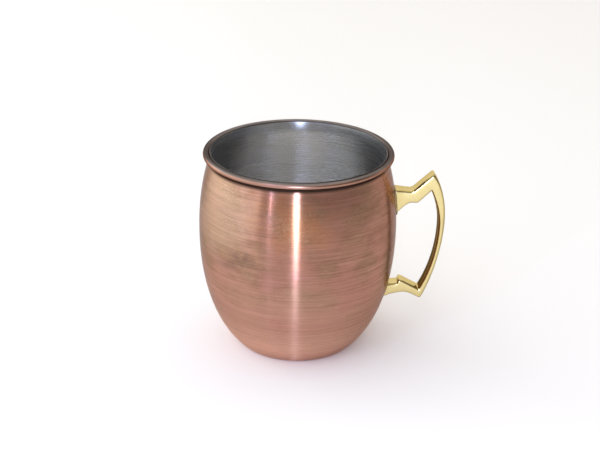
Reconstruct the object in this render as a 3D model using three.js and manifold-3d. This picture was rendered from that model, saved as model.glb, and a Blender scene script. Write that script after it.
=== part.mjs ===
// A copper mug: a spun copper cup with a rolled rim, a thin steel lining, and a cast brass handle
// that two braze joints hold to the wall. Millimetres, +Z up. The origin is the centre of the flat
// base, and the handle points along +X.
import * as THREE from "three";
import { mergeVertices } from "three/addons/utils/BufferGeometryUtils.js";
import Module from "manifold-3d";

const wasm = await Module();
wasm.setup();

// Cup
const totalHeight = 96;
const footRadius = 26.4; // the flat that the mug stands on
const cornerRadius = 2; // between the flat and the wall
const cornerRise = 42; // degrees above level at which the wall leaves the corner
const bellyRadius = 46.4;
const bellyHeight = 58.1;
const rimRadius = 44.3; // outside of the rolled rim
const rimBeadRadius = 1.5; // half of the rolled rim's thickness
const collarHeight = 2.65; // upright stretch of wall below the rolled rim's centre
const copperThickness = 0.7;
const curlEnd = -105; // degrees round the rolled rim at which the sheet's edge stops, short of the wall

// How full the wall's curves are, as a share of the height from the belly to each end
const fullness = { corner: 0.22, underBelly: 0.54, overBelly: 0.64, collar: 0.08 };

// Lining
const liningThickness = 0.4;
const liningLipDrop = 0.2; // from the rim's top to the lining's edge
const seatGap = 0.3; // between the lining and the copper, and on each side of a braze joint

// Handle
const handleWidth = 7;
const handleEdge = 0.6; // rounding along the handle's long edges
const rootOverlap = 6; // how far the arms run in past the wall before the wall trims them
const bow = {
  reach: 23.05, // belly to its outside
  thickness: 3.2,
  widestBelow: 34, // from the rim's top
  insideDrop: 2.5, // the inside is widest a little lower than the outside
  upperPull: 9.5, // how far its curves run on upright, above the widest point and below it
  insideUpperPull: 6,
  lowerPull: 13,
};

// Upper arm: pairs are [out from the belly, below the rim's top]
const upperArm = {
  rootTopBelow: 19,
  rootBottomBelow: 31.2,
  rootRise: 0.9, // how much the underside climbs from the wall to the belly line
  topBend: [6.4, 19.9], // the level top turns up here, towards the peak
  topRise: [8.5, 18.6],
  peakIn: [16.1, 11.7],
  peak: [16.7, 11.3],
  peakOut: [17.3, 12],
  bowLead: [20.3, 16],
  crotchLead: [18, 24.9],
  crotch: [16, 19.8],
  knee: [9.8, 25.6],
  hollow: [8.6, 26.1],
  neck: [5.8, 25.7],
};

// Lower arm: pairs are [out from the belly, above the base]
const lowerArm = {
  rootBottomAbove: 21.6,
  rootTopAbove: 28.4,
  bowLead: [19, 32.4],
  tipOut: [13.8, 21.8],
  tip: [13.3, 20.9],
  tipIn: [12.3, 21],
  sag: [7.4, 24.2],
  underside: [3.4, 24],
  step: [1.7, 28.9],
  stepTop: [2.2, 30.1],
  thumb: [3.1, 30.7],
  thumbFall: [4.5, 30],
  crotch: [11.6, 26],
  crotchLead: [16.4, 35],
};

// Braze joints
const brazeThickness = 0.5;
const brazeMargin = 0.9; // how far the braze spreads past the arm all round
const brazeCorner = 1.6;

// Facets
const turnSegments = 48;
const curveSegments = 7;
const cornerSegments = 3;
const curlSegments = 8;
const outlineSegments = 6; // on each curve of the handle's side view
const edgeSegments = 2; // across the rounding of the handle's edges
const brazeCornerSegments = 4;

// Finishes
const copper = { color: 0xb4785a, roughness: 0.32 };
const steel = { color: 0xa9a9a8, roughness: 0.25 };
const brass = { color: 0xdcc07a, roughness: 0.22 };
const braze = { color: 0xb09a5e, roughness: 0.4 };

const degrees = Math.PI / 180;
const beadCentre = new THREE.Vector2(rimRadius - rimBeadRadius, totalHeight - rimBeadRadius);
const collarRadius = beadCentre.x - rimBeadRadius + copperThickness;
const collarFoot = beadCentre.y - collarHeight;

// Outside of the wall from the corner to the rolled rim, as points with their outward normals.
function wallSamples() {
  const corner = new THREE.Vector2(footRadius, cornerRadius);
  const samples = [];
  for (let i = 0; i < cornerSegments; i++) {
    const turn = (cornerRise * degrees * i) / cornerSegments;
    const normal = new THREE.Vector2(Math.sin(turn), -Math.cos(turn));
    samples.push({ point: corner.clone().addScaledVector(normal, cornerRadius), normal });
  }
  const rise = new THREE.Vector2(Math.cos(cornerRise * degrees), Math.sin(cornerRise * degrees));
  const start = corner.clone().add(new THREE.Vector2(rise.y, -rise.x).multiplyScalar(cornerRadius));
  const belly = new THREE.Vector2(bellyRadius, bellyHeight);
  const neck = new THREE.Vector2(collarRadius, collarFoot);
  const under = belly.y - start.y;
  const over = neck.y - belly.y;
  const curves = [
    new THREE.CubicBezierCurve(
      start,
      start.clone().addScaledVector(rise, fullness.corner * under),
      new THREE.Vector2(belly.x, belly.y - fullness.underBelly * under),
      belly,
    ),
    new THREE.CubicBezierCurve(
      belly,
      new THREE.Vector2(belly.x, belly.y + fullness.overBelly * over),
      new THREE.Vector2(neck.x, neck.y - fullness.collar * over),
      neck,
    ),
  ];
  for (const [index, curve] of curves.entries()) {
    for (let i = index; i <= curveSegments; i++) {
      const tangent = curve.getTangentAt(i / curveSegments);
      samples.push({
        point: curve.getPointAt(i / curveSegments),
        normal: new THREE.Vector2(tangent.y, -tangent.x),
      });
    }
  }
  return samples;
}

const wall = wallSamples();

// The wall moved out by a distance, or in where it is negative, from the axis up to a height.
function wallOffset(distance, top = beadCentre.y) {
  const moved = wall.map(({ point, normal }) => point.clone().addScaledVector(normal, distance));
  return [new THREE.Vector2(0, -distance), ...moved, new THREE.Vector2(collarRadius + distance, top)];
}

function wallRadiusAt(height) {
  const above = wall.findIndex(({ point }) => point.y > height);
  const low = wall[above - 1].point;
  const high = wall[above].point;
  return THREE.MathUtils.mapLinear(height, low.y, high.y, low.x, high.x);
}

// A closed body turned about +Z from its profile of radius and height.
function turned(profile) {
  return new THREE.LatheGeometry(profile, turnSegments).rotateX(Math.PI / 2);
}

function solidOf(geometry) {
  const bare = geometry.clone();
  bare.deleteAttribute("normal");
  bare.deleteAttribute("uv");
  const merged = mergeVertices(bare);
  return new wasm.Manifold(
    new wasm.Mesh({
      numProp: 3,
      vertProperties: merged.attributes.position.array,
      triVerts: new Uint32Array(merged.index.array),
    }),
  );
}

function geometryOf(solid) {
  const mesh = solid.getMesh();
  const indexed = new THREE.BufferGeometry();
  indexed.setAttribute("position", new THREE.BufferAttribute(mesh.vertProperties, mesh.numProp));
  indexed.setIndex(new THREE.BufferAttribute(mesh.triVerts, 1));
  const geometry = indexed.toNonIndexed();
  geometry.computeVertexNormals();
  return geometry;
}

// The solid space inside the wall once it is moved out by a distance.
function wallSolid(distance) {
  const profile = wallOffset(distance);
  return solidOf(turned([...profile, new THREE.Vector2(0, profile.at(-1).y)]));
}

// One sheet: up the outside, round the curl and its edge, and down the inside.
function copperCup() {
  const curl = (radius, from, to) =>
    Array.from({ length: curlSegments + 1 }, (_, i) => {
      const angle = THREE.MathUtils.lerp(from, to, i / curlSegments) * degrees;
      return new THREE.Vector2(Math.cos(angle), Math.sin(angle)).multiplyScalar(radius).add(beadCentre);
    });
  return turned([
    ...wallOffset(0).slice(0, -1),
    ...curl(rimBeadRadius - copperThickness, 180, curlEnd),
    ...curl(rimBeadRadius, curlEnd, 180),
    ...wallOffset(-copperThickness).reverse().slice(1),
  ]);
}

function steelLining() {
  const outside = copperThickness + seatGap;
  const lip = totalHeight - liningLipDrop;
  return turned([
    ...wallOffset(-outside, lip),
    ...wallOffset(-outside - liningThickness, lip).reverse(),
  ]);
}

// Side view of the handle: along the top, down the bow, back under the lower arm, and round inside.
function handleOutline() {
  const hung = ([x, below]) => [bellyRadius + x, totalHeight - below];
  const stood = ([x, above]) => [bellyRadius + x, above];
  const root = (height) => [wallRadiusAt(height) - rootOverlap, height];
  const rootTop = totalHeight - upperArm.rootTopBelow;
  const rootBottom = totalHeight - upperArm.rootBottomBelow;
  const outsideX = bellyRadius + bow.reach;
  const insideX = outsideX - bow.thickness;
  const widest = totalHeight - bow.widestBelow;
  const widestInside = widest - bow.insideDrop;
  const outline = new THREE.Shape();
  outline.moveTo(...root(rootTop));
  outline.lineTo(bellyRadius, rootTop);
  outline.quadraticCurveTo(...hung(upperArm.topBend), ...hung(upperArm.topRise));
  outline.lineTo(...hung(upperArm.peakIn));
  outline.quadraticCurveTo(...hung(upperArm.peak), ...hung(upperArm.peakOut));
  outline.bezierCurveTo(
    ...hung(upperArm.bowLead), outsideX, widest + bow.upperPull, outsideX, widest,
  );
  outline.bezierCurveTo(
    outsideX, widest - bow.lowerPull, ...stood(lowerArm.bowLead), ...stood(lowerArm.tipOut),
  );
  outline.quadraticCurveTo(...stood(lowerArm.tip), ...stood(lowerArm.tipIn));
  outline.quadraticCurveTo(...stood(lowerArm.sag), ...stood(lowerArm.underside));
  outline.lineTo(...root(lowerArm.rootBottomAbove));
  outline.lineTo(...root(lowerArm.rootTopAbove));
  outline.lineTo(...stood(lowerArm.step));
  outline.lineTo(...stood(lowerArm.stepTop));
  outline.quadraticCurveTo(...stood(lowerArm.thumb), ...stood(lowerArm.thumbFall));
  outline.lineTo(...stood(lowerArm.crotch));
  outline.bezierCurveTo(
    ...stood(lowerArm.crotchLead), insideX, widestInside - bow.lowerPull, insideX, widestInside,
  );
  outline.bezierCurveTo(
    insideX, widestInside + bow.insideUpperPull,
    ...hung(upperArm.crotchLead), ...hung(upperArm.crotch),
  );
  outline.lineTo(...hung(upperArm.knee));
  outline.quadraticCurveTo(...hung(upperArm.hollow), ...hung(upperArm.neck));
  outline.lineTo(bellyRadius, rootBottom + upperArm.rootRise);
  outline.lineTo(...root(rootBottom));
  return outline;
}

const armClearance = 2 * seatGap + brazeThickness;

function brassHandle() {
  const blank = new THREE.ExtrudeGeometry(handleOutline(), {
    depth: handleWidth - 2 * handleEdge,
    curveSegments: outlineSegments,
    bevelSize: handleEdge,
    bevelOffset: -handleEdge,
    bevelThickness: handleEdge,
    bevelSegments: edgeSegments,
  });
  blank.rotateX(Math.PI / 2).translate(0, handleWidth / 2 - handleEdge, 0);
  return geometryOf(solidOf(blank).subtract(wallSolid(armClearance)));
}

// A thin saddle of braze that follows the wall under one arm's end and a little past it all round.
function brazeJoint(armBottom, armTop) {
  const halfWidth = handleWidth / 2 + brazeMargin;
  const low = armBottom - brazeMargin;
  const high = armTop + brazeMargin;
  const pad = new THREE.Shape();
  pad.moveTo(-halfWidth + brazeCorner, low);
  pad.lineTo(halfWidth - brazeCorner, low);
  pad.absarc(halfWidth - brazeCorner, low + brazeCorner, brazeCorner, -Math.PI / 2, 0);
  pad.absarc(halfWidth - brazeCorner, high - brazeCorner, brazeCorner, 0, Math.PI / 2);
  pad.absarc(-halfWidth + brazeCorner, high - brazeCorner, brazeCorner, Math.PI / 2, Math.PI);
  pad.absarc(-halfWidth + brazeCorner, low + brazeCorner, brazeCorner, Math.PI, 1.5 * Math.PI);
  const block = new THREE.ExtrudeGeometry(pad, {
    depth: bellyRadius + bow.reach,
    curveSegments: brazeCornerSegments,
    bevelEnabled: false,
  });
  block.rotateX(Math.PI / 2).rotateZ(Math.PI / 2);
  const layer = wallSolid(seatGap + brazeThickness).subtract(wallSolid(seatGap));
  return geometryOf(solidOf(block).intersect(layer));
}

function piece(name, geometry, finish) {
  const mesh = new THREE.Mesh(geometry, new THREE.MeshStandardMaterial({ ...finish, metalness: 1 }));
  mesh.name = name;
  return mesh;
}

const upperBraze = brazeJoint(
  totalHeight - upperArm.rootBottomBelow,
  totalHeight - upperArm.rootTopBelow,
);
const lowerBraze = brazeJoint(lowerArm.rootBottomAbove, lowerArm.rootTopAbove);

const mug = new THREE.Group();
mug.add(
  piece("copper_cup", copperCup(), copper),
  piece("steel_lining", steelLining(), steel),
  piece("brass_handle", brassHandle(), brass),
  piece("upper_braze_joint", upperBraze, braze),
  piece("lower_braze_joint", lowerBraze, braze),
);

export default mug;
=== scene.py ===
from math import acos, cos, degrees, pi, radians, sin, sqrt

import bmesh
import bpy
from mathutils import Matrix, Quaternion, Vector
from mathutils.geometry import interpolate_bezier


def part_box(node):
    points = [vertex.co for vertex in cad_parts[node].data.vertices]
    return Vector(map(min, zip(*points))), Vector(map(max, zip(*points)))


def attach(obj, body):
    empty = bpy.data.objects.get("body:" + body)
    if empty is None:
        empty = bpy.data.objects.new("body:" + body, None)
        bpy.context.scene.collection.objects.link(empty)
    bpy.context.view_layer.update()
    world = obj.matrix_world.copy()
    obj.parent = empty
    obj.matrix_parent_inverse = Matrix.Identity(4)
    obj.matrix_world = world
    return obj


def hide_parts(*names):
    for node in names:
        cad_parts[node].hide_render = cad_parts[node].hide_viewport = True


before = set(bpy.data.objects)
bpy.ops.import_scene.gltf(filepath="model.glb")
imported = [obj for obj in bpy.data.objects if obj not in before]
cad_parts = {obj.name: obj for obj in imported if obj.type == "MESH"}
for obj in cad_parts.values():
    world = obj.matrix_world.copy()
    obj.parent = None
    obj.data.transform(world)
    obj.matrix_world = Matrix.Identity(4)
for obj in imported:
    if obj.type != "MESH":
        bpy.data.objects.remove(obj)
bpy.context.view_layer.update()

mm = 0.001
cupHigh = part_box("copper_cup")[1]
bellyRadius = cupHigh.y / mm
totalHeight = cupHigh.z / mm
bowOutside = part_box("brass_handle")[1].x / mm


def addNode(tree, kind, inputs=None, **settings):
    node = tree.nodes.new(kind)
    for name, value in settings.items():
        setattr(node, name, value)
    for name, value in (inputs or {}).items():
        if isinstance(value, bpy.types.NodeSocket):
            tree.links.new(value, node.inputs[name])
        else:
            node.inputs[name].default_value = value
    return node


def calc(tree, operation, *values):
    node = addNode(tree, "ShaderNodeMath", dict(enumerate(values)), operation=operation)
    return node.outputs[0]


def remap(tree, value, fromMin, fromMax, toMin=0.0, toMax=1.0, smooth=False):
    node = addNode(
        tree, "ShaderNodeMapRange",
        {"Value": value, "From Min": fromMin, "From Max": fromMax, "To Min": toMin, "To Max": toMax},
        interpolation_type="SMOOTHSTEP" if smooth else "LINEAR",
    )
    return node.outputs["Result"]


def swing(tree, value, valueRange, share):
    # from -share to share
    return remap(tree, value, *valueRange, -share, share)


def mixColor(tree, factor, first, second, blend="MIX"):
    # a mix node has a set of sockets for each kind of value: 0 is its factor, 6 and 7 its two colors
    node = addNode(tree, "ShaderNodeMix", data_type="RGBA", blend_type=blend)
    sockets = [node.inputs[number] for number in (0, 6, 7)]
    for socket, value in zip(sockets, (factor, first, second)):
        if isinstance(value, bpy.types.NodeSocket):
            tree.links.new(value, socket)
        else:
            socket.default_value = value
    return node.outputs[2]


def rgb(red, green, blue):
    return (red, green, blue, 1.0)


def newGroup(name, inputs, outputs):
    group = bpy.data.node_groups.new(name, "ShaderNodeTree")
    for label, kind, value in inputs:
        socket = group.interface.new_socket(label, in_out="INPUT", socket_type=kind)
        socket.default_value = value
    for label, kind in outputs:
        group.interface.new_socket(label, in_out="OUTPUT", socket_type=kind)
    return group, group.nodes.new("NodeGroupInput"), group.nodes.new("NodeGroupOutput")


# where most of each noise's values lie
lineRange = (0.3, 0.7)
bandRange = (0.35, 0.65)
cloudRange = (0.32, 0.68)
speckRange = (0.5, 0.68)

# the thick half of a cloud and the thin half, each counted away from its middle
thick = (0.5, 1.0)
thin = (0.5, 0.0)

bandShare = 0.55  # bands to each fine line


def makeBrushedLines():
    # fine lines left by turning the piece under an abrasive: long round the axis, narrow along it
    group, given, made = newGroup(
        "brushedLines",
        [("Lines per mm", "NodeSocketFloat", 3.0), ("Length mm", "NodeSocketFloat", 25.0),
         ("Detail", "NodeSocketFloat", 4.0)],
        [("Lines", "NodeSocketFloat"), ("Bands", "NodeSocketFloat")],
    )
    place = group.nodes.new("ShaderNodeTexCoord").outputs["Object"]
    parts = addNode(group, "ShaderNodeSeparateXYZ", {0: place})
    across = calc(group, "DIVIDE", 1.0 / mm, given.outputs["Length mm"])
    along = calc(group, "MULTIPLY", given.outputs["Lines per mm"], 1.0 / mm)

    def stretched(share):
        return addNode(group, "ShaderNodeCombineXYZ", {
            "X": calc(group, "MULTIPLY", parts.outputs["X"], across),
            "Y": calc(group, "MULTIPLY", parts.outputs["Y"], across),
            "Z": calc(group, "MULTIPLY", parts.outputs["Z"], calc(group, "MULTIPLY", along, share)),
        }).outputs[0]

    fine = addNode(group, "ShaderNodeTexNoise", {
        "Vector": stretched(1.0), "Scale": 1.0, "Detail": given.outputs["Detail"], "Roughness": 0.65,
    })
    broad = addNode(group, "ShaderNodeTexNoise", {
        "Vector": stretched(bandShare), "Scale": 1.0, "Detail": 3.0, "Roughness": 0.6,
    })
    group.links.new(fine.outputs["Fac"], made.inputs["Lines"])
    group.links.new(broad.outputs["Fac"], made.inputs["Bands"])
    return group


def makePatina():
    # cloudy oxide: a soft cloud, and small specks inside it
    group, given, made = newGroup(
        "patina",
        [("Cloud mm", "NodeSocketFloat", 18.0), ("Speck mm", "NodeSocketFloat", 1.2)],
        [("Cloud", "NodeSocketFloat"), ("Specks", "NodeSocketFloat")],
    )
    place = group.nodes.new("ShaderNodeTexCoord").outputs["Object"]
    cloud = addNode(group, "ShaderNodeTexNoise", {
        "Vector": place, "Scale": calc(group, "DIVIDE", 1.0 / mm, given.outputs["Cloud mm"]),
        "Detail": 4.0, "Roughness": 0.55,
    })
    specks = addNode(group, "ShaderNodeTexNoise", {
        "Vector": place, "Scale": calc(group, "DIVIDE", 1.0 / mm, given.outputs["Speck mm"]),
        "Detail": 2.0, "Roughness": 0.5,
    })
    for noise, valueRange, label in ((cloud, cloudRange, "Cloud"), (specks, speckRange, "Specks")):
        shown = remap(group, noise.outputs["Fac"], *valueRange, smooth=True)
        group.links.new(shown, made.inputs[label])
    return group


brushedLines = makeBrushedLines()
patina = makePatina()
print("shader groups made")


# the turned pieces: sizes in mm, and the wall curves' fullness as shares of the height they climb
cup = {
    "footRadius": 26.4,
    "cornerRadius": 2.0,
    "cornerRise": 42.0,  # degrees above level at which the wall leaves the corner
    "bellyHeight": 58.1,
    "rimRadius": 44.3,
    "beadRadius": 1.5,
    "collarHeight": 2.65,
    "thickness": 0.7,
    "curlGap": 0.12,  # between the roll's edge and the wall
    "rimMaterialDrop": 0.1,  # how far below the roll its material starts
    "cornerFullness": 0.22,
    "underBelly": 0.54,
    "overBelly": 0.64,
    "collarFullness": 0.08,
    "cornerSteps": 8,
    "wallSteps": 44,
    "curlSteps": (20, 32),
    "segments": 192,
}
lining = {"gap": 0.02, "thickness": 0.4, "lipDrop": 0.2, "lipSteps": 8}

beadCentre = Vector((cup["rimRadius"] - cup["beadRadius"], totalHeight - cup["beadRadius"]))
collarRadius = beadCentre.x - cup["beadRadius"] + cup["thickness"]


def startMaterial(name):
    material = bpy.data.materials.new(name)
    material.use_nodes = True
    tree = material.node_tree
    shader = tree.nodes["Principled BSDF"]
    return material, tree, shader


def placed(tree, group, inputs):
    node = tree.nodes.new("ShaderNodeGroup")
    node.node_tree = group
    for name, value in inputs.items():
        node.inputs[name].default_value = value
    return node


def roundTangent(tree):
    # runs round the mug's axis, the way the brushing does
    place = tree.nodes.new("ShaderNodeTexCoord").outputs["Object"]
    up = (0, 0, 1)
    around = addNode(tree, "ShaderNodeVectorMath", {0: up, 1: place}, operation="CROSS_PRODUCT")
    unit = addNode(tree, "ShaderNodeVectorMath", {0: around.outputs[0]}, operation="NORMALIZE")
    return unit.outputs[0]


lineDepth = 0.02 * mm
acrossTheLines = 0.25  # quarter turn: light spreads across the brushing, not along it


def finishBrushed(tree, shader, lines, look):
    bump = addNode(tree, "ShaderNodeBump", {
        "Strength": look["bump"], "Distance": lineDepth, "Height": lines.outputs["Lines"],
    })
    tree.links.new(bump.outputs[0], shader.inputs["Normal"])
    tree.links.new(roundTangent(tree), shader.inputs["Tangent"])
    shader.inputs["Metallic"].default_value = 1.0
    shader.inputs["Anisotropic"].default_value = look["anisotropy"]
    shader.inputs["Anisotropic Rotation"].default_value = acrossTheLines


def heightMm(tree):
    place = tree.nodes.new("ShaderNodeTexCoord").outputs["Object"]
    parts = addNode(tree, "ShaderNodeSeparateXYZ", {0: place})
    return calc(tree, "MULTIPLY", parts.outputs["Z"], 1 / mm)


def patchMask(tree, place, patch, ragged):
    # a soft patch on the surface: "flat" above 1 makes it wider than tall, "ragged" breaks up its edge
    centre = tuple(c * mm for c in patch["centre"])
    fromCentre = addNode(tree, "ShaderNodeVectorMath", {0: place, 1: centre}, operation="SUBTRACT")
    squeezed = addNode(
        tree, "ShaderNodeVectorMath", {0: fromCentre.outputs[0], 1: (1, 1, patch["flat"])},
        operation="MULTIPLY",
    )
    away = addNode(tree, "ShaderNodeVectorMath", {0: squeezed.outputs[0]}, operation="LENGTH")
    edge = calc(tree, "MULTIPLY_ADD", ragged, patch["ragged"] * mm, away.outputs["Value"])
    inner, outer = patch["inner"] * mm, patch["outer"] * mm
    return remap(tree, edge, inner, outer, patch["share"], 0.0, smooth=True)


def makeBrushedCopper():
    look = {
        "pink": rgb(0.5, 0.262, 0.192),
        "brown": rgb(0.315, 0.163, 0.107),
        "tan": rgb(0.37, 0.225, 0.14),
        "rose": rgb(0.44, 0.2, 0.158),
        "wearAndSheen": rgb(0.74, 0.43, 0.31),
        "speckle": rgb(0.7, 0.44, 0.28),
        # painted shadow under the roll, near black
        "underRollShade": rgb(0.035, 0.02, 0.015),
        "edge": rgb(0.6, 0.56, 0.54),
        "brownFrom": 30.0,
        "brownFull": 52.0,
        "brownShare": 0.68,
        "streakSwing": 0.2,
        "cloudSwing": 0.22,
        "smearSwing": 0.38,
        "smearBelow": 0.1,  # how much of the smears shows on the pink below
        "tanShare": 0.6,
        "tanBelow": 0.35,  # how much of the tan shows on the pink below
        "roseShare": 0.5,
        "lineSwing": 0.16,
        "cloudSpecks": 0.25,
        "patchSpecks": 0.5,
        "sheenTop": 26.0,
        "sheenFull": 6.0,
        "underRollShadeFrom": 4.4,  # mm below the roll's centre
        "underRollShadeFull": 2.5,
        "roughness": 0.25,
        "smoother": 0.03,
        "rougher": 0.04,
        "anisotropy": 1.0,
        "bump": 0.06,
    }
    # stains and worn places that a hand and a cloth leave
    haze = {
        "color": rgb(0.5, 0.335, 0.24), "centre": (-37.0, -27.0, 76.0),
        "inner": 20.0, "outer": 33.0, "flat": 1.0, "ragged": 8.0, "share": 0.5,
    }
    blush = {
        "color": rgb(0.45, 0.19, 0.088), "centre": (-4.0, -45.0, 76.0),
        "inner": 12.0, "outer": 32.0, "flat": 1.0, "ragged": 11.0, "share": 0.85,
    }
    smudge = {
        "color": rgb(0.17, 0.1, 0.075), "centre": (-28.0, -37.0, 56.5),
        "inner": 12.0, "outer": 27.0, "flat": 2.2, "ragged": 12.0, "share": 0.8,
    }
    tarnish = {
        "color": rgb(0.25, 0.17, 0.105), "centre": (24.0, -38.0, 82.0),
        "inner": 12.0, "outer": 34.0, "flat": 1.5, "ragged": 12.0, "share": 0.12,
    }
    material, tree, shader = startMaterial("brushedCopper")
    place = tree.nodes.new("ShaderNodeTexCoord").outputs["Object"]
    height = heightMm(tree)
    lines = placed(tree, brushedLines, {"Lines per mm": 2.0, "Length mm": 50.0, "Detail": 4.0})
    smears = placed(tree, brushedLines, {"Lines per mm": 0.24, "Length mm": 12.0, "Detail": 5.0})
    oxide = placed(tree, patina, {"Cloud mm": 12.0, "Speck mm": 0.6})
    tint = placed(tree, patina, {"Cloud mm": 24.0, "Speck mm": 3.0})

    climb = look["brownFrom"], look["brownFull"]
    upper = remap(tree, height, *climb, 0.0, look["brownShare"], smooth=True)
    streaks = swing(tree, lines.outputs["Bands"], bandRange, look["streakSwing"])
    clouded = swing(tree, oxide.outputs["Cloud"], (0.0, 1.0), look["cloudSwing"])
    smeared = swing(tree, smears.outputs["Lines"], bandRange, look["smearSwing"])
    smeared = calc(tree, "MULTIPLY", smeared, calc(tree, "ADD", upper, look["smearBelow"]))
    streaked = calc(tree, "ADD", upper, streaks)
    brownness = calc(tree, "ADD", streaked, calc(tree, "ADD", clouded, smeared))
    color = mixColor(tree, calc(tree, "MAXIMUM", brownness, 0.0), look["pink"], look["brown"])
    tanned = remap(tree, tint.outputs["Cloud"], *thick, 0.0, look["tanShare"])
    higher = remap(tree, height, *climb, look["tanBelow"], 1.0)
    color = mixColor(tree, calc(tree, "MULTIPLY", tanned, higher), color, look["tan"])
    rosy = remap(tree, tint.outputs["Cloud"], *thin, 0.0, look["roseShare"])
    color = mixColor(tree, rosy, color, look["rose"])

    ragged = calc(tree, "ADD", oxide.outputs["Cloud"], lines.outputs["Bands"])
    patches = (haze, blush, smudge, tarnish)
    masks = [patchMask(tree, place, patch, ragged) for patch in patches]
    for mask, patch in zip(masks, patches):
        color = mixColor(tree, mask, color, patch["color"])

    # painted reflection: the wall grows lighter towards the bottom, standing in for the bright floor
    # it mirrors
    wearAndSheen = remap(tree, height, look["sheenTop"], look["sheenFull"], smooth=True)
    color = mixColor(tree, wearAndSheen, color, look["wearAndSheen"])
    darker, lighter = 1 - look["lineSwing"], 1 + look["lineSwing"]
    fine = remap(tree, lines.outputs["Lines"], *lineRange, darker, lighter)
    fineGrey = addNode(tree, "ShaderNodeCombineColor", {0: fine, 1: fine, 2: fine}).outputs[0]
    color = mixColor(tree, 1.0, color, fineGrey, "MULTIPLY")
    speckled = remap(tree, oxide.outputs["Cloud"], *thick, 0.0, look["cloudSpecks"], smooth=True)
    hazeOrBlush = calc(tree, "MAXIMUM", masks[0], masks[1])
    speckled = calc(tree, "MULTIPLY_ADD", hazeOrBlush, look["patchSpecks"], speckled)
    speckled = calc(tree, "MULTIPLY", oxide.outputs["Specks"], speckled)
    color = mixColor(tree, speckled, color, look["speckle"])
    # painted shadow: the wall just under the roll is darkened to near black, where the roll shades it
    below = calc(tree, "SUBTRACT", beadCentre.y, height)
    underRollShade = remap(tree, below, look["underRollShadeFrom"], look["underRollShadeFull"], smooth=True)
    color = mixColor(tree, underRollShade, color, look["underRollShade"])
    tree.links.new(color, shader.inputs["Base Color"])

    low, high = look["roughness"] - look["smoother"], look["roughness"] + look["rougher"]
    rough = remap(tree, lines.outputs["Bands"], *lineRange, low, high)
    tree.links.new(rough, shader.inputs["Roughness"])
    shader.inputs["Specular Tint"].default_value = look["edge"]
    finishBrushed(tree, shader, lines, look)
    return material


def makeRolledRim():
    # copper on the outside of the roll, bare and stained grey on top, and a painted shadow underneath
    look = {
        "copper": rgb(0.41, 0.225, 0.165),
        "bare": rgb(0.21, 0.19, 0.185),
        "stainAndShade": rgb(0.035, 0.02, 0.015),
        "edge": rgb(0.3, 0.27, 0.26),
        "bareFrom": 0.85,  # mm above the roll's centre
        "bareFull": 1.2,
        "bareWander": 0.12,
        "underShadeFrom": -0.35,
        "underShadeFull": -0.95,
        "stain": 0.2,
        "roughness": 0.3,
    }
    material, tree, shader = startMaterial("rolledRim")
    oxide = placed(tree, patina, {"Cloud mm": 9.0, "Speck mm": 0.6})
    fromCentre = calc(tree, "SUBTRACT", heightMm(tree), beadCentre.y)
    wearAndSheen = calc(tree, "MULTIPLY_ADD", oxide.outputs["Cloud"], look["bareWander"], fromCentre)
    bare = remap(tree, wearAndSheen, look["bareFrom"], look["bareFull"], smooth=True)
    color = mixColor(tree, bare, look["copper"], look["bare"])
    # painted shadow: the underside of the roll is darkened to near black; the same dark colour also
    # makes the cloudy stains
    under = remap(tree, fromCentre, look["underShadeFrom"], look["underShadeFull"], smooth=True)
    stained = calc(tree, "MULTIPLY", oxide.outputs["Cloud"], look["stain"])
    color = mixColor(tree, calc(tree, "MAXIMUM", under, stained), color, look["stainAndShade"])
    tree.links.new(color, shader.inputs["Base Color"])
    shader.inputs["Roughness"].default_value = look["roughness"]
    shader.inputs["Specular Tint"].default_value = look["edge"]
    shader.inputs["Metallic"].default_value = 1.0
    return material


def makeLiningSteel():
    look = {
        "steel": rgb(0.82, 0.815, 0.81),
        "shade": rgb(0.62, 0.62, 0.622),
        # painted shade on the lining's lip
        "lip": rgb(0.1, 0.09, 0.085),
        "lineShade": 0.5,
        "cloudShade": 0.4,
        "lipShadeDepth": 1.0,  # mm
        "lipRougher": 0.25,
        "roughness": 0.24,
        "smoother": 0.03,
        "rougher": 0.05,
        "anisotropy": 0.8,
        "bump": 0.06,
    }
    material, tree, shader = startMaterial("liningSteel")
    lines = placed(tree, brushedLines, {"Lines per mm": 2.2, "Length mm": 70.0, "Detail": 3.0})
    oxide = placed(tree, patina, {"Cloud mm": 26.0, "Speck mm": 0.8})
    lined = calc(tree, "MULTIPLY", lines.outputs["Bands"], look["lineShade"])
    tone = calc(tree, "MULTIPLY_ADD", oxide.outputs["Cloud"], look["cloudShade"], lined)
    color = mixColor(tree, tone, look["steel"], look["shade"])
    # painted shade: the top millimetre of the lining is darkened to near black, so its lip shows no
    # glint
    lipShadeFoot = totalHeight - look["lipShadeDepth"]
    lip = remap(tree, heightMm(tree), lipShadeFoot, lipShadeFoot + look["lipShadeDepth"] / 2, smooth=True)
    tree.links.new(mixColor(tree, lip, color, look["lip"]), shader.inputs["Base Color"])
    low, high = look["roughness"] - look["smoother"], look["roughness"] + look["rougher"]
    rough = remap(tree, lines.outputs["Lines"], *lineRange, low, high)
    rough = calc(tree, "MULTIPLY_ADD", lip, look["lipRougher"], rough)
    tree.links.new(rough, shader.inputs["Roughness"])
    finishBrushed(tree, shader, lines, look)
    return material


def speckledRoughness(tree, oxide, look):
    high = look["roughness"] + look["speckRougher"]
    return remap(tree, oxide.outputs["Specks"], 0.0, 1.0, look["roughness"], high)


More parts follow.
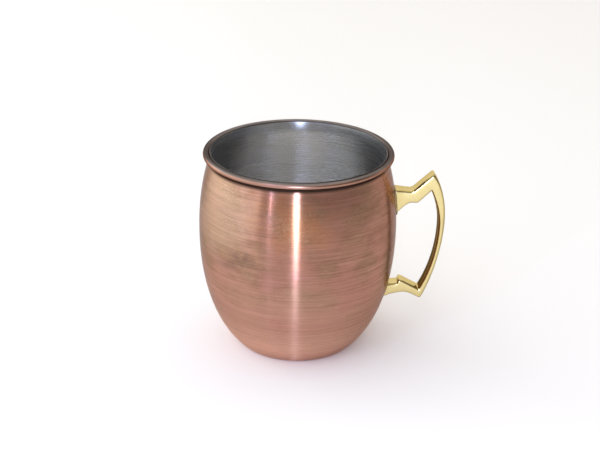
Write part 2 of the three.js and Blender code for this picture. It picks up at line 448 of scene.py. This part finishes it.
def makeCastBrass():
    # polished, with a painted shade and painted copper reflection on the side of the bow that faces
    # the fingers, and a painted olive shade along the rounded edges
    look = {
        "bright": rgb(0.82, 0.69, 0.335),
        "deep": rgb(0.74, 0.575, 0.235),
        "edgeShade": rgb(0.3, 0.22, 0.07),
        "innerShade": rgb(0.1, 0.045, 0.012),
        "edge": rgb(0.72, 0.66, 0.5),
        "deepShare": 0.4,
        "edgeShadeShare": 0.9,
        "roughness": 0.2,
        "speckRougher": 0.07,
        "innerShadeRougher": 0.25,
        "bump": 0.15,
        "bumpDepth": 0.05,  # mm
    }
    material, tree, shader = startMaterial("castBrass")
    oxide = placed(tree, patina, {"Cloud mm": 7.0, "Speck mm": 0.5})
    deeper = calc(tree, "MULTIPLY", oxide.outputs["Cloud"], look["deepShare"])
    color = mixColor(tree, deeper, look["bright"], look["deep"])
    # painted shade: an olive darkening along the middle of each rounded edge
    edge = addNode(tree, "ShaderNodeAttribute", attribute_name="edge").outputs["Fac"]
    color = mixColor(tree, calc(tree, "MULTIPLY", edge, look["edgeShadeShare"]), color, look["edgeShade"])
    # painted shade, with the copper's reflection in it, on the side of the bow that faces the fingers
    innerShade = addNode(tree, "ShaderNodeAttribute", attribute_name="bowInnerShade").outputs["Fac"]
    tree.links.new(mixColor(tree, innerShade, color, look["innerShade"]), shader.inputs["Base Color"])
    rough = speckledRoughness(tree, oxide, look)
    rough = calc(tree, "MULTIPLY_ADD", innerShade, look["innerShadeRougher"], rough)
    tree.links.new(rough, shader.inputs["Roughness"])
    bump = addNode(tree, "ShaderNodeBump", {
        "Strength": look["bump"], "Distance": look["bumpDepth"] * mm, "Height": oxide.outputs["Cloud"],
    })
    tree.links.new(bump.outputs[0], shader.inputs["Normal"])
    shader.inputs["Metallic"].default_value = 1.0
    shader.inputs["Specular Tint"].default_value = look["edge"]
    return material


def makeBraze():
    look = {
        "fresh": rgb(0.55, 0.43, 0.24),
        "scale": rgb(0.22, 0.16, 0.1),
        "roughness": 0.38,
        "speckRougher": 0.12,
    }
    material, tree, shader = startMaterial("brazeAlloy")
    oxide = placed(tree, patina, {"Cloud mm": 2.5, "Speck mm": 0.3})
    color = mixColor(tree, oxide.outputs["Cloud"], look["fresh"], look["scale"])
    tree.links.new(color, shader.inputs["Base Color"])
    tree.links.new(speckledRoughness(tree, oxide, look), shader.inputs["Roughness"])
    shader.inputs["Metallic"].default_value = 1.0
    return material


brushedCopper = makeBrushedCopper()
rolledRim = makeRolledRim()
liningSteel = makeLiningSteel()
castBrass = makeCastBrass()
brazeAlloy = makeBraze()
print("materials made")


def wallRun():
    # outside of the wall from the corner above the foot to the collar, as points with outward normals
    corner = Vector((cup["footRadius"], cup["cornerRadius"]))
    turn = radians(cup["cornerRise"])
    run = []
    for i in range(cup["cornerSteps"]):
        angle = turn * i / cup["cornerSteps"]
        normal = Vector((sin(angle), -cos(angle)))
        run.append((corner + normal * cup["cornerRadius"], normal))
    rise = Vector((cos(turn), sin(turn)))
    start = corner + Vector((rise.y, -rise.x)) * cup["cornerRadius"]
    belly = Vector((bellyRadius, cup["bellyHeight"]))
    neck = Vector((collarRadius, beadCentre.y - cup["collarHeight"]))
    under = belly.y - start.y
    over = neck.y - belly.y
    up = Vector((0, 1))
    curves = [
        (start, start + rise * cup["cornerFullness"] * under,
         belly - up * cup["underBelly"] * under, belly),
        (belly, belly + up * cup["overBelly"] * over,
         neck - up * cup["collarFullness"] * over, neck),
    ]
    for index, knots in enumerate(curves):
        points = interpolate_bezier(*[k.to_3d() for k in knots], cup["wallSteps"] + 1)
        for i in range(index, len(points)):
            ahead = points[min(i + 1, len(points) - 1)] - points[max(i - 1, 0)]
            run.append((points[i].to_2d(), Vector((ahead.y, -ahead.x)).normalized()))
    return run


wall = wallRun()


def wallOffset(distance, top):
    # the wall moved out by a distance, from the axis up to a height
    moved = [point + normal * distance for point, normal in wall]
    return [Vector((0, -distance)), *moved, Vector((collarRadius + distance, top))]


def wallRadiusAt(height):
    for (low, _), (high, _) in zip(wall, wall[1:]):
        if height <= high.y:
            return low.x + (high.x - low.x) * (height - low.y) / (high.y - low.y)
    return collarRadius


def arc(centre, radius, start, end, steps):
    angles = [radians(start + (end - start) * i / steps) for i in range(steps + 1)]
    return [centre + Vector((cos(a), sin(a))) * radius for a in angles]


spineRadius = 20.0  # of the swept circle: any that lies inside the profile serves
weldDistance = 0.0005 * mm


def makeTurnTree():
    # turns a profile of radius and height about +Z: a circle swept with the profile, its poles merged
    tree = bpy.data.node_groups.new("turnedProfile", "GeometryNodeTree")
    for label, kind in (
        ("Geometry", "NodeSocketGeometry"), ("Segments", "NodeSocketInt"),
        ("Spine Radius", "NodeSocketFloat"), ("Rim Foot", "NodeSocketFloat"),
        ("Wall Material", "NodeSocketMaterial"), ("Rim Material", "NodeSocketMaterial"),
    ):
        tree.interface.new_socket(label, in_out="INPUT", socket_type=kind)
    tree.interface.new_socket("Geometry", in_out="OUTPUT", socket_type="NodeSocketGeometry")
    given = tree.nodes.new("NodeGroupInput")
    made = tree.nodes.new("NodeGroupOutput")
    circle = addNode(tree, "GeometryNodeCurvePrimitiveCircle", {
        "Resolution": given.outputs["Segments"], "Radius": given.outputs["Spine Radius"],
    })
    spine = addNode(
        tree, "GeometryNodeSetCurveNormal", {"Curve": circle.outputs["Curve"]}, mode="Z_UP",
    )
    inward = addNode(tree, "ShaderNodeCombineXYZ", {
        "X": calc(tree, "MULTIPLY", given.outputs["Spine Radius"], -1.0),
    })
    # the sweep lays a profile's +Y along -Z, so it is turned over first
    section = addNode(tree, "GeometryNodeTransform", {
        "Geometry": given.outputs["Geometry"], "Translation": inward.outputs[0], "Scale": (1, -1, 1),
    })
    swept = addNode(tree, "GeometryNodeCurveToMesh", {
        "Curve": spine.outputs["Curve"], "Profile Curve": section.outputs["Geometry"],
    })
    joined = addNode(tree, "GeometryNodeMergeByDistance", {
        "Geometry": swept.outputs["Mesh"], "Distance": weldDistance,
    })
    outward = addNode(tree, "GeometryNodeFlipFaces", {"Mesh": joined.outputs["Geometry"]})
    smooth = addNode(tree, "GeometryNodeSetShadeSmooth", {"Geometry": outward.outputs["Mesh"]})
    real = addNode(tree, "GeometryNodeRealizeInstances", {"Geometry": smooth.outputs["Geometry"]})
    walled = addNode(tree, "GeometryNodeSetMaterial", {
        "Geometry": real.outputs["Geometry"], "Material": given.outputs["Wall Material"],
    })
    place = tree.nodes.new("GeometryNodeInputPosition").outputs[0]
    height = addNode(tree, "ShaderNodeSeparateXYZ", {0: place})
    isRim = addNode(tree, "FunctionNodeCompare", {
        0: height.outputs["Z"], 1: given.outputs["Rim Foot"],
    }, data_type="FLOAT", operation="GREATER_THAN")
    rimmed = addNode(tree, "GeometryNodeSetMaterial", {
        "Geometry": walled.outputs["Geometry"], "Selection": isRim.outputs[0],
        "Material": given.outputs["Rim Material"],
    })
    tree.links.new(rimmed.outputs["Geometry"], made.inputs["Geometry"])
    return tree


turnTree = makeTurnTree()


def turned(name, profile, wallMaterial, rimMaterial, rimFoot):
    curve = bpy.data.curves.new(name + "Profile", "CURVE")
    spline = curve.splines.new("POLY")
    spline.points.add(len(profile) - 1)
    for point, place in zip(spline.points, profile):
        point.co = (place.x * mm, place.y * mm, 0, 1)
    drawn = bpy.data.objects.new(name + "Profile", curve)
    bpy.context.scene.collection.objects.link(drawn)
    modifier = drawn.modifiers.new("turn", "NODES")
    modifier.node_group = turnTree
    values = {
        "Segments": cup["segments"], "Spine Radius": spineRadius * mm, "Rim Foot": rimFoot * mm,
        "Wall Material": wallMaterial, "Rim Material": rimMaterial,
    }
    for item in turnTree.interface.items_tree:
        if item.name in values:
            modifier[item.identifier] = values[item.name]
    evaluated = drawn.evaluated_get(bpy.context.evaluated_depsgraph_get())
    mesh = bpy.data.meshes.new_from_object(evaluated)
    mesh.name = name
    piece = bpy.data.objects.new(name, mesh)
    bpy.context.scene.collection.objects.link(piece)
    bpy.data.objects.remove(drawn)
    bpy.data.curves.remove(curve)
    return piece


def makeCup():
    inside = cup["beadRadius"] - cup["thickness"]
    end = -degrees(acos((cup["curlGap"] + cup["thickness"] - cup["beadRadius"]) / cup["beadRadius"]))
    profile = [
        *wallOffset(0, beadCentre.y)[:-1],
        *arc(beadCentre, inside, 180, end, cup["curlSteps"][0]),
        *arc(beadCentre, cup["beadRadius"], end, 180, cup["curlSteps"][1]),
        *reversed(wallOffset(-cup["thickness"], beadCentre.y)[:-1]),
    ]
    rimFoot = beadCentre.y - cup["beadRadius"] - cup["rimMaterialDrop"]
    return turned("copperCup", profile, brushedCopper, rolledRim, rimFoot)


def makeLining():
    outside = cup["thickness"] + lining["gap"]
    inside = outside + lining["thickness"]
    top = totalHeight - lining["lipDrop"] - lining["thickness"] / 2
    lip = Vector((collarRadius - (outside + inside) / 2, top))
    profile = [
        *wallOffset(-outside, top)[:-1],
        *arc(lip, lining["thickness"] / 2, 0, 180, lining["lipSteps"]),
        *reversed(wallOffset(-inside, top)[:-1]),
    ]
    return turned("steelLining", profile, liningSteel, liningSteel, totalHeight)


copperCup = makeCup()
steelLining = makeLining()
print("cup and lining made")


# sizes across the handle in mm, and how it is cut into sections
handle = {
    "width": 7.0,
    "rootWidth": 8.2,
    "rootRound": 1.0,
    "rootFlare": 9,  # sections over which an arm spreads towards the wall
    "rootBite": 0.03,
    "crown": 0.18,
    "bowThickness": 3.2,
    "bowStretches": (4, 5),
    "mostRounding": 0.96,  # share of half the thickness
    "innerShadeReach": 1.5,  # the painted inner shade fades round the corners of the side that faces the fingers
    "innerShadeFade": 2.8,
    "cornerSteps": 6,
    "sideSteps": 6,
}

# stretches of the handle from the upper joint to the lower one: the outline away from the fingers
# and the one on their side, both as curve knots in mm, x out from the belly and z up; then steps,
# and rounding at the end
bow = bowOutside - bellyRadius
bowInside = bow - handle["bowThickness"]
stretches = [
    ([(-0.9, 77.0), (1.6, 77.0), (4.2, 76.35), (6.2, 76.3)],
     [(-0.5, 64.9), (1.8, 67.2), (3.9, 69.5), (6.0, 70.25)], 16, 1.0),
    ([(6.2, 76.3), (7.3, 76.3), (8.0, 76.9), (8.9, 77.75)],
     [(6.0, 70.25), (7.3, 70.7), (8.9, 69.9), (10.1, 70.6)], 10, 1.0),
    ([(8.9, 77.75), (11.2, 79.95), (13.6, 82.2), (16.0, 84.35)],
     [(10.1, 70.6), (11.9, 72.3), (13.9, 74.2), (15.6, 75.8)], 16, 1.5),
    ([(16.0, 84.35), (16.4, 84.75), (16.8, 84.85), (17.3, 84.15)],
     [(15.6, 75.8), (15.85, 76.05), (16.0, 76.0), (16.15, 75.6)], 8, 1.6),
    ([(17.3, 84.15), (20.3, 80.0), (bow, 71.5), (bow, 62.0)],
     [(16.15, 75.6), (18.2, 70.8), (bowInside, 65.5), (bowInside, 59.5)], 26, 1.9),
    ([(bow, 62.0), (bow, 49.0), (19.1, 32.6), (13.9, 22.1)],
     [(bowInside, 59.5), (bowInside, 46.5), (16.7, 35.6), (12.0, 26.6)], 40, 1.9),
    ([(13.9, 22.1), (13.4, 21.1), (13.0, 20.7), (12.1, 21.1)],
     [(12.0, 26.6), (11.85, 26.25), (11.6, 26.0), (11.2, 26.2)], 8, 1.0),
    ([(12.1, 21.1), (9.2, 22.6), (7.0, 24.1), (4.6, 24.05)],
     [(11.2, 26.2), (8.9, 27.6), (6.7, 28.8), (4.9, 29.8)], 16, 1.0),
    ([(4.6, 24.05), (3.6, 24.05), (2.6, 23.95), (2.0, 23.85)],
     [(4.9, 29.8), (3.6, 30.5), (2.5, 31.1), (2.1, 30.0)], 8, 0.8),
    ([(2.0, 23.85), (1.8, 23.8), (1.6, 23.8), (1.4, 23.75)],
     [(2.1, 30.0), (2.0, 29.6), (1.9, 29.0), (1.4, 28.95)], 6, 0.9),
    ([(1.4, 23.75), (-0.6, 23.4), (-3.0, 22.6), (-5.2, 21.8)],
     [(1.4, 28.95), (-0.4, 28.8), (-2.0, 28.75), (-3.7, 28.5)], 12, 1.0),
]


def curvePoints(knots, steps):
    return interpolate_bezier(*[Vector((x + bellyRadius, 0, z)) for x, z in knots], steps + 1)


def sectionOffsets(half, width, rounding):
    # a rounded rectangle: place along and across, how near it is to the middle of a rounded corner,
    # which sets the painted edge shade, and how much it belongs to the side that faces the fingers,
    # which sets the painted inner shade
    points = []
    depth = min(rounding, half * handle["mostRounding"])
    for quarter in range(4):
        alongSign = (1, -1, -1, 1)[quarter]
        acrossSign = (1, 1, -1, -1)[quarter]
        for i in range(handle["cornerSteps"] + 1):
            angle = (pi / 2) * i / handle["cornerSteps"]
            if quarter % 2:
                angle = pi / 2 - angle
            along = half - depth * (1 - cos(angle))
            across = width - rounding * (1 - sin(angle))
            faded = max(0.0, min(1.0, handle["innerShadeReach"] - handle["innerShadeFade"] * angle))
            inward = faded if alongSign < 0 else 0.0
            points.append((alongSign * along, acrossSign * across, sin(2 * angle) ** 2, inward))
        if quarter % 2 == 0:
            reach = half - depth
            for i in range(1, handle["sideSteps"]):
                share = 1 - 2 * i / handle["sideSteps"]
                points.append((alongSign * share * reach, acrossSign * width, 0.0, 0.0))
    return points


def crowned(along, across, half):
    swell = handle["crown"] * (1 - min(abs(along) / half, 1.0) ** 2)
    return across + (swell if across > 0 else -swell)


def wallX(across, height):
    return sqrt(wallRadiusAt(height) ** 2 - across ** 2)


def makeHandle():
    stations = []
    rounding = handle["rootRound"]
    for index, (outer, inner, steps, roundingEnd) in enumerate(stretches):
        onBow = index in handle["bowStretches"]
        outerPoints = curvePoints(outer, steps)
        innerPoints = curvePoints(inner, steps)
        for i in range(0 if index == 0 else 1, steps + 1):
            share = i / steps
            rounded = rounding + (roundingEnd - rounding) * share
            stations.append((outerPoints[i], innerPoints[i], rounded, 1.0 if onBow else 0.0))
        rounding = roundingEnd
    half = handle["width"] / 2
    rings = []
    edges, innerShades = [], []
    for number, (outer, inner, rounding, bowShaded) in enumerate(stations):
        centre = (outer + inner) / 2
        spread = (outer - inner) / 2
        along = spread.normalized()
        fromEnd = min(number, len(stations) - 1 - number)
        flare = max(0.0, 1 - fromEnd / handle["rootFlare"]) ** 2
        width = half + flare * (handle["rootWidth"] - handle["width"]) / 2
        ring = []
        for a, b, edge, inward in sectionOffsets(spread.length, width, rounding):
            place = centre + along * a
            ring.append(Vector((place.x, crowned(a, b, spread.length), place.z)))
            edges.append(edge)
            innerShades.append(inward * bowShaded)
        if fromEnd == 0:
            for place in ring:
                place.x = wallX(place.y, place.z) - handle["rootBite"]
        rings.append(ring)
    mesh = bmesh.new()
    loops = [[mesh.verts.new(place * mm) for place in ring] for ring in rings]
    count = len(loops[0])
    for near, far in zip(loops, loops[1:]):
        for i in range(count):
            j = (i + 1) % count
            mesh.faces.new((near[i], near[j], far[j], far[i]))
    mesh.faces.new(loops[0][::-1])
    mesh.faces.new(loops[-1])
    bmesh.ops.recalc_face_normals(mesh, faces=mesh.faces)
    data = bpy.data.meshes.new("brassHandle")
    mesh.to_mesh(data)
    mesh.free()
    data.shade_smooth()
    data.attributes.new("edge", "FLOAT", "POINT").data.foreach_set("value", edges)
    data.attributes.new("bowInnerShade", "FLOAT", "POINT").data.foreach_set("value", innerShades)
    piece = bpy.data.objects.new("brassHandle", data)
    bpy.context.scene.collection.objects.link(piece)
    data.materials.append(castBrass)
    return piece, rings[0], rings[-1]


brassHandle, upperRoot, lowerRoot = makeHandle()
print("handle made")


# sizes in mm; the wall's slope is taken between "slopeReach" above a point and the same below it
braze = {"leg": 0.6, "armBite": 0.12, "wallBite": 0.1, "slopeReach": 0.5, "steps": 4}


def makeBrazeFillet(name, root):
    # a concave fillet in the corner between the arm and the wall, all round the arm
    count = len(root)
    mesh = bmesh.new()
    loops = []
    middle = sum(root, Vector()) / count
    leg = braze["leg"]
    section = [Vector((-braze["armBite"], -braze["wallBite"]))]
    for k in range(braze["steps"] + 1):
        angle = (pi / 2) * k / braze["steps"]
        section.append(Vector((leg * (1 - sin(angle)), leg * (1 - cos(angle)))))
    section.append(Vector((leg, -braze["wallBite"])))
    for i, place in enumerate(root):
        ahead = (root[(i + 1) % count] - root[i - 1]).normalized()
        above, below = place.z + braze["slopeReach"], place.z - braze["slopeReach"]
        slope = (wallRadiusAt(above) - wallRadiusAt(below)) / (above - below)
        out = Vector((place.x, place.y, -slope * place.xy.length)).normalized()
        away = ahead.cross(out).normalized()
        if away.dot(place - middle) < 0:
            away = -away
        loop = []
        for off, up in section:
            spot = place + away * off
            base = Vector((wallX(spot.y, spot.z), spot.y, spot.z))
            loop.append(mesh.verts.new((base + out * up) * mm))
        loops.append(loop)
    for i in range(count):
        near, far = loops[i], loops[(i + 1) % count]
        for k in range(len(near)):
            m = (k + 1) % len(near)
            mesh.faces.new((near[k], near[m], far[m], far[k]))
    if mesh.calc_volume(signed=True) < 0:
        bmesh.ops.reverse_faces(mesh, faces=mesh.faces)
    data = bpy.data.meshes.new(name)
    mesh.to_mesh(data)
    mesh.free()
    data.shade_smooth()
    piece = bpy.data.objects.new(name, data)
    bpy.context.scene.collection.objects.link(piece)
    data.materials.append(brazeAlloy)
    return piece


upperBraze = makeBrazeFillet("upperBrazeFillet", upperRoot)
lowerBraze = makeBrazeFillet("lowerBrazeFillet", lowerRoot)
print("braze fillets made")

for piece, node, slotName in (
    (copperCup, "copper_cup", "copper"),
    (steelLining, "steel_lining", "lining"),
    (brassHandle, "brass_handle", "brass"),
    (upperBraze, "upper_braze_joint", "braze"),
    (lowerBraze, "lower_braze_joint", "braze"),
):
    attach(piece, "root")
    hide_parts(node)


studio = {
    "floorSize": 8.0,
    "floorColor": rgb(0.93, 0.93, 0.93),
    "floorRoughness": 0.9,
    "frontHorizon": 0.18,
    "backHorizon": 0.95,
    "backFrom": -0.1,
    "backFull": 0.5,
    "sky": 1.22,
    "skyColor": rgb(1.0, 0.95, 0.89),
    "skyFrom": 0.5,
    "skyFull": 0.86,
}

# soft boxes aimed at the mug's middle: azimuth counts from the front, positive to the right, lean tips
# the top to the left, and sizes are in metres
cool = (0.6, 0.7, 1.0)
softBoxes = {
    "frontStrip": {
        "azimuth": -4.9, "elevation": 17.0, "distance": 1.1, "width": 0.06, "height": 0.95,
        "power": 4.4, "color": cool, "lean": 4.4,
    },
    "frontLow": {
        "azimuth": -4.4, "elevation": 4.5, "distance": 1.1, "width": 0.075, "height": 0.16,
        "power": 3.4, "color": cool, "lean": 4.4,
    },
    "leftBox": {
        "azimuth": -92.0, "elevation": 20.0, "distance": 1.0, "width": 2.0, "height": 0.8,
        "power": 8.3, "color": (0.86, 0.96, 1.0), "lean": 0.0,
    },
    "sideStrip": {
        "azimuth": -35.0, "elevation": 30.0, "distance": 1.1, "width": 0.03, "height": 0.75,
        "power": 1.9, "color": (0.55, 0.6, 1.0), "lean": 0.0,
    },
    "frontFill": {
        "azimuth": -23.0, "elevation": 22.0, "distance": 1.25, "width": 0.8, "height": 0.8,
        "power": 0.35, "color": (1.0, 1.0, 1.0), "lean": 0.0,
    },
}


def makeFloor():
    bpy.ops.mesh.primitive_plane_add(size=studio["floorSize"])
    floor = bpy.context.object
    floor.name = "floor"
    material, tree, shader = startMaterial("floorPaint")
    shader.inputs["Base Color"].default_value = studio["floorColor"]
    shader.inputs["Roughness"].default_value = studio["floorRoughness"]
    floor.data.materials.append(material)


def aimed(location, target, roll):
    return (target - location).to_track_quat("-Z", "Y") @ Quaternion((0, 0, 1), radians(roll))


def fromFront(azimuth, elevation):
    a, e = radians(azimuth), radians(elevation)
    return Vector((sin(a) * cos(e), -cos(a) * cos(e), sin(e)))


def makeLights():
    target = Vector((0, 0, totalHeight / 2 * mm))
    for name, box in softBoxes.items():
        light = bpy.data.lights.new(name, "AREA")
        light.shape = "RECTANGLE"
        light.size = box["width"]
        light.size_y = box["height"]
        light.energy = box["power"]
        light.color = box["color"]
        lamp = bpy.data.objects.new(name, light)
        lamp.location = target + box["distance"] * fromFront(box["azimuth"], box["elevation"])
        lamp.rotation_mode = "QUATERNION"
        lamp.rotation_quaternion = aimed(lamp.location, target, box["lean"])
        bpy.context.scene.collection.objects.link(lamp)


def makeWorld():
    # dim towards the front, a pale backdrop behind, bright overhead
    world = bpy.data.worlds.new("studioAir")
    bpy.context.scene.world = world
    world.use_nodes = True
    tree = world.node_tree
    direction = tree.nodes.new("ShaderNodeTexCoord").outputs["Generated"]
    way = addNode(tree, "ShaderNodeSeparateXYZ", {0: direction})
    horizon = remap(
        tree, way.outputs["Y"], studio["backFrom"], studio["backFull"],
        studio["frontHorizon"], studio["backHorizon"], smooth=True,
    )
    overhead = remap(tree, way.outputs["Z"], studio["skyFrom"], studio["skyFull"], smooth=True)
    rest = calc(tree, "MULTIPLY", horizon, calc(tree, "SUBTRACT", 1.0, overhead))
    strength = calc(tree, "ADD", rest, calc(tree, "MULTIPLY", overhead, studio["sky"]))
    tree.links.new(strength, tree.nodes["Background"].inputs["Strength"])
    tree.nodes["Background"].inputs["Color"].default_value = studio["skyColor"]


def makeCamera():
    view = {
        "azimuth": -3.0, "elevation": 23.6, "distance": 0.7,
        "side": 1.16 * mm, "height": 53.2 * mm, "roll": 0.87, "lens": 88.7, "sensor": 36.0,
        "clipStart": 0.01,
    }
    across = radians(view["azimuth"])
    target = view["side"] * Vector((cos(across), sin(across), 0)) + Vector((0, 0, view["height"]))
    camera = bpy.data.objects.new("camera", bpy.data.cameras.new("camera"))
    camera.data.lens = view["lens"]
    camera.data.sensor_width = view["sensor"]
    camera.data.clip_start = view["clipStart"]
    camera.location = target + view["distance"] * fromFront(view["azimuth"], view["elevation"])
    camera.rotation_mode = "QUATERNION"
    camera.rotation_quaternion = aimed(camera.location, target, view["roll"])
    bpy.context.scene.collection.objects.link(camera)
    bpy.context.scene.camera = camera


makeFloor()
makeLights()
makeWorld()
makeCamera()
bpy.context.scene.view_settings.view_transform = "Standard"
print("stage, lights and camera made")
